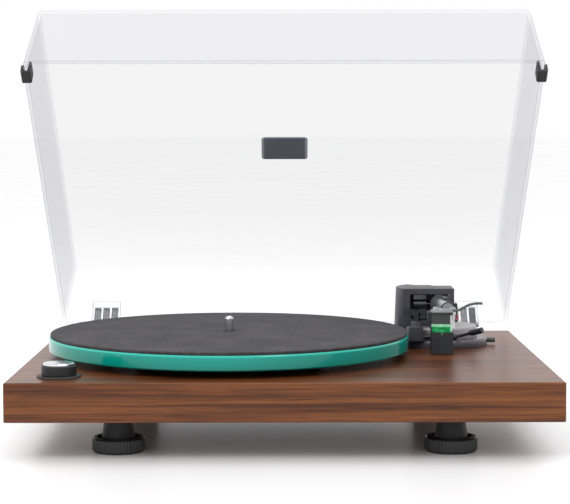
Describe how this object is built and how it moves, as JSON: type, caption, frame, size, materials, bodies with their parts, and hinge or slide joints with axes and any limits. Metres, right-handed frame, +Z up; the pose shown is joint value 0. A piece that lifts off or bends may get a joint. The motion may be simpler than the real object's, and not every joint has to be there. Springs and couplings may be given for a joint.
{
  "type": "turntable record player",
  "caption": "Belt-driven turntable on a wooden plinth with a glass platter, felt mat, pivoted tonearm, cue lift, speed knob, levelling feet and hinged clear dust cover",
  "frame": {"origin": "on the surface that the feet stand on, under the centre of the plinth", "axes": "+X to the right, +Y to the back (the hinge side), +Z up, the spindle pointing up"},
  "size_m": [0.4212, 0.3889, 0.3452],
  "materials": {
    "walnut": "satin lacquered walnut veneer",
    "black_steel": "powder coated",
    "screw_steel": "plain",
    "black_plastic": "fine moulded",
    "gold": "gold plated",
    "white_plastic": "moulded",
    "board": "solder mask",
    "motor_steel": "zinc plated",
    "belt_rubber": "ground flat",
    "brass": "turned",
    "foot_rubber": "matt",
    "foot_plastic": "knurled",
    "dark_metal": "satin black",
    "satin_grey": "satin grey",
    "dark_plastic": "moulded charcoal",
    "clear_acrylic": "clear polished",
    "badge": "dark plate with pale border",
    "polished_steel": "polished",
    "teal_glass": "polished green-tinted glass",
    "felt": "charcoal felt",
    "pulley_aluminium": "turned",
    "chrome": "polished",
    "gimbal_metal": "anodised dark",
    "arm_aluminium": "satin",
    "weight_steel": "turned dark",
    "headshell_metal": "satin",
    "cartridge_black": "moulded",
    "stylus_green": "moulded",
    "lead_insulation": "coloured insulation"
  },
  "bodies": {
    "base": {"plinth": "walnut", "bottom_cover": "black_steel", "wood_screws": "screw_steel", "terminal_panel": "black_plastic", "rca_sockets": "gold", "ground_post": "screw_steel", "dc_inlet": "black_plastic", "circuit_board": "board", "motor": "motor_steel", "motor_plate": "motor_steel", "drive_belt": "belt_rubber", "bearing_sleeve": "brass", "thrust_ball": "screw_steel", "foot_necks": "foot_rubber", "foot_studs": "screw_steel", "knob_flange": "black_plastic", "speed_switch": "black_plastic", "arm_base": "dark_metal", "arm_drum": "satin_grey", "pivot_cowl": "dark_plastic", "cue_housing": "dark_plastic", "arm_rest_post": "dark_plastic", "hinge_bracket_left": "dark_plastic", "hinge_bracket_right": "dark_plastic", "hinge_pins": "screw_steel"},
    "cover": {"dust_cover": "clear_acrylic", "lid_badge": "badge", "lid_bumpers": "foot_rubber", "lid_hinge_left": "dark_plastic", "lid_hinge_right": "dark_plastic"},
    "platter": {"sub_platter": "black_plastic", "spindle": "polished_steel", "glass_platter": "teal_glass", "felt_mat": "felt"},
    "pulley": {"motor_pulley": "pulley_aluminium", "motor_shaft": "screw_steel"},
    "selector": {"speed_knob": "black_plastic", "knob_cap": "chrome"},
    "foot_front_left": {"foot_disc_front_left": "foot_plastic"},
    "foot_front_right": {"foot_disc_front_right": "foot_plastic"},
    "foot_rear_left": {"foot_disc_rear_left": "foot_plastic"},
    "foot_rear_right": {"foot_disc_rear_right": "foot_plastic"},
    "arm_yoke": {"gimbal_yoke": "gimbal_metal"},
    "arm": {"pivot_hub": "gimbal_metal", "arm_tube": "arm_aluminium", "headshell": "headshell_metal", "finger_lift": "dark_metal", "cartridge": "cartridge_black", "stylus": "stylus_green", "cartridge_leads": "lead_insulation", "cartridge_screws": "screw_steel"},
    "weight": {"counterweight": "weight_steel"},
    "dial": {"weight_dial": "black_plastic"},
    "collar": {"headshell_collar": "chrome"},
    "lever": {"cue_lever": "dark_metal"},
    "lift": {"cue_lift": "dark_metal"},
    "rest_ring": {"arm_rest_ring": "dark_plastic"},
    "lock_screw": {"height_lock_screw": "dark_metal"},
    "nut": {"ground_nut": "gold"},
    "mode_slider": {"mode_switch": "white_plastic"}
  },
  "joints": [
    {"name": "cover_hinge", "type": "hinge", "parent": "base", "child": "cover", "pos_m": [0, 0.1765, 0.0565], "axis": [1, 0, 0], "range_deg": [0, 44.3]},
    {"name": "platter_spin", "type": "hinge", "parent": "base", "child": "platter", "pos_m": [-0.0465, -0.0043, 0.06475], "axis": [0, 0, -1], "continuous": true},
    {"name": "pulley_spin", "type": "hinge", "parent": "base", "child": "pulley", "pos_m": [-0.11721, 0.06641, 0.058], "axis": [0, 0, -1], "continuous": true},
    {"name": "speed_select", "type": "hinge", "parent": "base", "child": "selector", "pos_m": [-0.1725, -0.1375, 0.065], "axis": [0, 0, -1], "range_deg": [-45, 45]},
    {"name": "arm_swing", "type": "hinge", "parent": "base", "child": "arm_yoke", "pos_m": [0.1354, 0.0675, 0.0945], "axis": [0, 0, -1], "range_deg": [0, 48.5]},
    {"name": "arm_tilt", "type": "hinge", "parent": "arm_yoke", "child": "arm", "pos_m": [0.1354, 0.0675, 0.0945], "axis": [-0.9989, 0.0471, 0], "range_deg": [-3.1, 0]},
    {"name": "weight_turn", "type": "hinge", "parent": "arm", "child": "weight", "pos_m": [0.1354, 0.0675, 0.0945], "axis": [-0.047, -0.9961, 0.075], "range_deg": [-360, 360]},
    {"name": "dial_turn", "type": "hinge", "parent": "weight", "child": "dial", "pos_m": [0.1354, 0.0675, 0.0945], "axis": [-0.047, -0.9961, 0.075], "range_deg": [-180, 180]},
    {"name": "collar_turn", "type": "hinge", "parent": "arm", "child": "collar", "pos_m": [0.1354, 0.0675, 0.0945], "axis": [-0.047, -0.9961, 0.075], "range_deg": [0, 60]},
    {"name": "cue_lever_turn", "type": "hinge", "parent": "base", "child": "lever", "pos_m": [0.146, 0.032, 0.069], "axis": [1, 0, 0], "range_deg": [0, 30]},
    {"name": "cue_lift_slide", "type": "slide", "parent": "base", "child": "lift", "axis": [0, 0, 1], "range_m": [-0.0034, 0]},
    {"name": "rest_ring_turn", "type": "hinge", "parent": "base", "child": "rest_ring", "pos_m": [0.13215, -0.0015, 0.0978], "axis": [0, 1, 0], "range_deg": [0, 100]},
    {"name": "lock_screw_turn", "type": "hinge", "parent": "base", "child": "lock_screw", "pos_m": [0.17, 0.0675, 0.0626], "axis": [1, 0, 0], "range_deg": [-180, 180]},
    {"name": "ground_nut_turn", "type": "hinge", "parent": "base", "child": "nut", "pos_m": [0.06, 0.1765, 0.0425], "axis": [0, 1, 0], "range_deg": [-360, 360]},
    {"name": "mode_slide", "type": "slide", "parent": "base", "child": "mode_slider", "axis": [1, 0, 0], "range_m": [0, 0.0058]},
    {"name": "foot_front_left_turn", "type": "hinge", "parent": "base", "child": "foot_front_left", "pos_m": [-0.1282, -0.1275, 0.006], "axis": [0, 0, 1], "range_deg": [-360, 360]},
    {"name": "foot_front_right_turn", "type": "hinge", "parent": "base", "child": "foot_front_right", "pos_m": [0.1282, -0.1275, 0.006], "axis": [0, 0, 1], "range_deg": [-360, 360]},
    {"name": "foot_rear_left_turn", "type": "hinge", "parent": "base", "child": "foot_rear_left", "pos_m": [-0.1282, 0.1275, 0.006], "axis": [0, 0, 1], "range_deg": [-360, 360]},
    {"name": "foot_rear_right_turn", "type": "hinge", "parent": "base", "child": "foot_rear_right", "pos_m": [0.1282, 0.1275, 0.006], "axis": [0, 0, 1], "range_deg": [-360, 360]}
  ],
  "couplings": [
    {"joint": "pulley_spin", "follows": "platter_spin", "ratio": 9},
    {"joint": "cue_lever_turn", "follows": "cue_lift_slide", "rad_per_m": -153.99},
    {"joint": "arm_tilt", "follows": "cue_lift_slide", "rad_per_m": 15.907}
  ]
}
